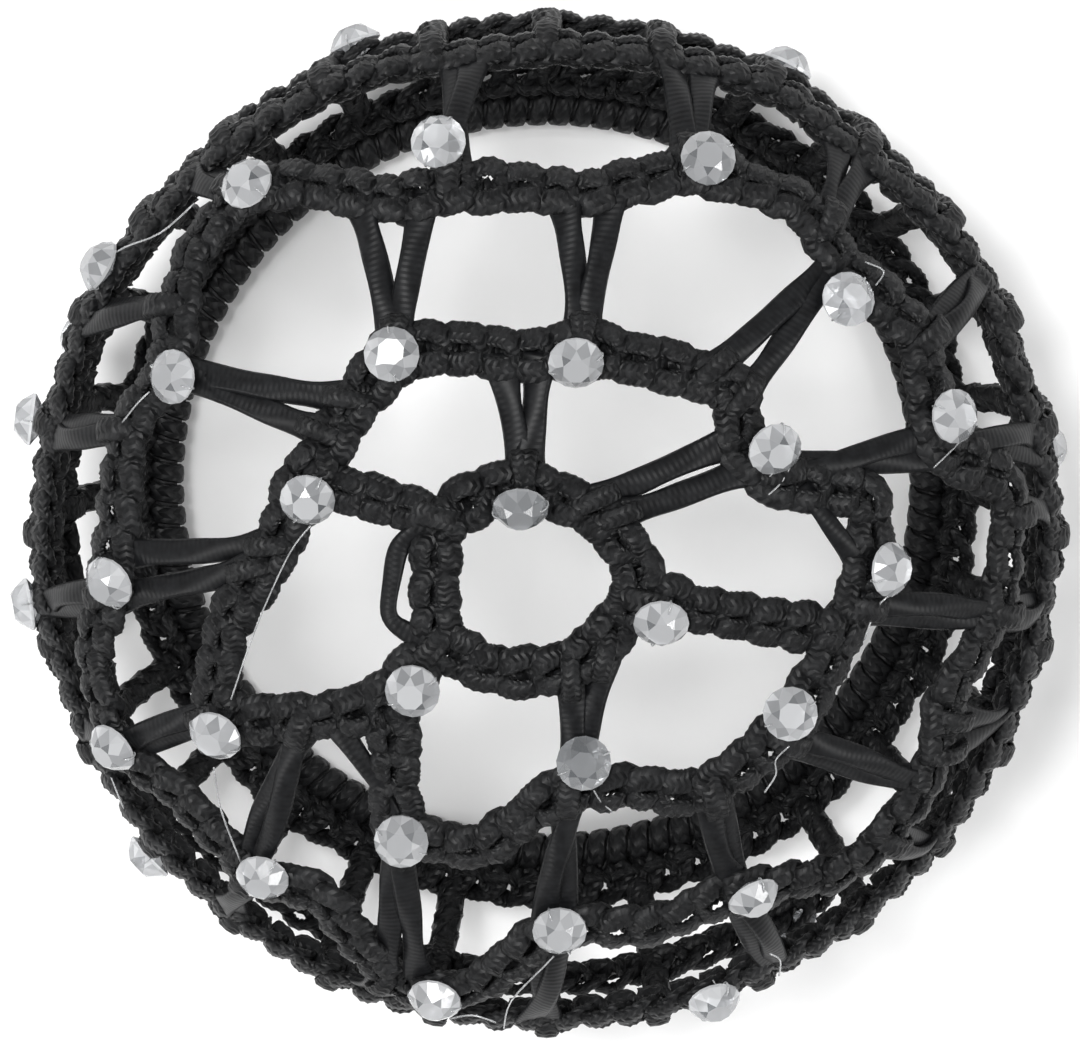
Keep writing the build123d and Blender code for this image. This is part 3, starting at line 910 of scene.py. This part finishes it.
def thread(places):
    """Round tube through places: the smooth closed line there and back, cut to the way there."""
    line = rounded(np.concatenate([places, places[-1:], places[::-1], places[:1]]))
    line = line[:(len(places) - 1) * steps_between + 1]
    out = direction(*turn_and_slope(line))
    return tape(line, out, thread_radius, thread_radius, False, rib=0.0)


# places of a stitch: share of the stone's radius aside, and millimetres up; first from the
# stone's middle along its axis, over its edge, and then from the tape's face outwards
stone_places = np.array([(0.45, -0.2), (0.70, 0.85), (1.00, 0.35), (0.95, -0.45)])
tape_places = np.array([(0.50, 0.0), (0.30, -1.2)])
knot_top_share = 0.6


def sewn(number, way):
    """Thread at one side of a stone: up through the crown near the girdle, over the edge, and
    down into the tape."""
    face, out = stone_face[number], stone_out[number]
    side = unit(np.cross(face, direction(stone_hole_turn[number], np.pi / 2))) * way
    tape_face = stone_foot[number] + (tape_top + knot_top_share * knot_height[number]) * out
    over = (stone_middle[number] + stone_radius * stone_places[:, :1] * side
            + mm * stone_places[:, 1:] * face)
    down = tape_face + stone_radius * tape_places[:, :1] * side + mm * tape_places[:, 1:] * out
    return thread(np.concatenate([over, down]))


stone_hole_turn = chance.uniform(0, 2 * np.pi, len(stones))
clear_nylon, tree, shader = material("Clear nylon")
place = node(tree, "TexCoord")
cloud = node(tree, "TexNoise", Vector=place.outputs["Object"], Scale=500.0, Detail=2.0)
colour = colour_between(tree, cloud.outputs[0], 0.3, 0.7, (0.55, 0.56, 0.57), (0.80, 0.81, 0.82))
tree.links.new(colour, shader.inputs["Base Color"])
shader.inputs["Roughness"].default_value = 0.12
shader.inputs["Transmission Weight"].default_value = 0.7
bridges = []
for places in loose_threads:
    turn, reach, lift = np.array(places, float).T
    bridges.append(thread(on_dome(turn, reach, lift * mm)))
stitches = [sewn(number, way) for number in range(len(stones)) for way in (-1, 1)]
shown("sewing_thread", bridges + stitches, [clear_nylon], "cut_stone")

# %% [markdown]
# ## Floor, light and camera
# The cage stands on a plain pale floor under soft studio light: a bright even sky and three wide
# lamps. The camera looks down from above, tilted a little, with a long lens from 0.6 m.

# %% Floor
floor_mesh = bpy.data.meshes.new("floor")
floor_half = 1.2
floor_z = -2.3 * mm
floor_mesh.from_pydata([(-floor_half, -floor_half, floor_z), (floor_half, -floor_half, floor_z),
                        (floor_half, floor_half, floor_z), (-floor_half, floor_half, floor_z)],
                       [], [(0, 1, 2, 3)])
pale, tree, shader = material("Pale floor")
place = node(tree, "TexCoord")
grain = node(tree, "TexNoise", Vector=place.outputs["Object"], Scale=60.0, Detail=4.0)
colour = colour_between(tree, grain.outputs[0], 0.3, 0.7, (0.86, 0.86, 0.86), (0.90, 0.90, 0.90))
tree.links.new(colour, shader.inputs["Base Color"])
shader.inputs["Roughness"].default_value = 0.8
floor_mesh.materials.append(pale)
floor = bpy.data.objects.new("floor", floor_mesh)
bpy.context.scene.collection.objects.link(floor)

# %% Light
world = bpy.data.worlds.new("Bright room")
bpy.context.scene.world = world
world.use_nodes = True
world.node_tree.nodes["Background"].inputs["Color"].default_value = (1, 1, 1, 1)
world.node_tree.nodes["Background"].inputs["Strength"].default_value = 0.55
bpy.context.scene.view_settings.view_transform = "Standard"


def standing(right, up, back, place):
    """Placing of an object: its three directions as columns, and then its place."""
    columns = zip(np.stack([right, up, back], 1), place)
    return Matrix([(*row, at) for row, at in columns] + [(0, 0, 0, 1)])


lamp_aim = (0, 0, 0.025)


def lamp(name, place, size, power):
    """A wide square lamp at a place, looking at the middle of the cage."""
    light = bpy.data.lights.new(name, "AREA")
    light.shape = "SQUARE"
    light.size = size
    light.energy = power
    made = bpy.data.objects.new(name, light)
    back = unit(np.array(place) - lamp_aim)
    right = unit(np.cross((0, 1, 0.01), back))
    made.matrix_world = standing(right, np.cross(back, right), back, place)
    bpy.context.scene.collection.objects.link(made)


lamp("Over the crown", (-0.25, 0.35, 0.9), 0.34, 9.0)
lamp("From the right", (0.7, -0.2, 0.6), 0.32, 4.0)
lamp("From the left", (-0.7, -0.4, 0.5), 0.32, 3.5)

# %% Camera
view_tilt = np.radians(12.5)
view_distance = 0.6
aim_left = 0.65 * mm
back = np.array([0, np.sin(view_tilt), np.cos(view_tilt)])
up = np.array([0, np.cos(view_tilt), -np.sin(view_tilt)])
aim = np.array([-aim_left, 0, widest_height])
camera = bpy.data.objects.new("camera", bpy.data.cameras.new("camera"))
camera.data.sensor_width = 36.0
camera.data.lens = 208.0
camera.matrix_world = standing((1, 0, 0), up, back, aim + view_distance * back)
bpy.context.scene.collection.objects.link(camera)
bpy.context.scene.camera = camera

# %% The end
bpy.context.view_layer.update()
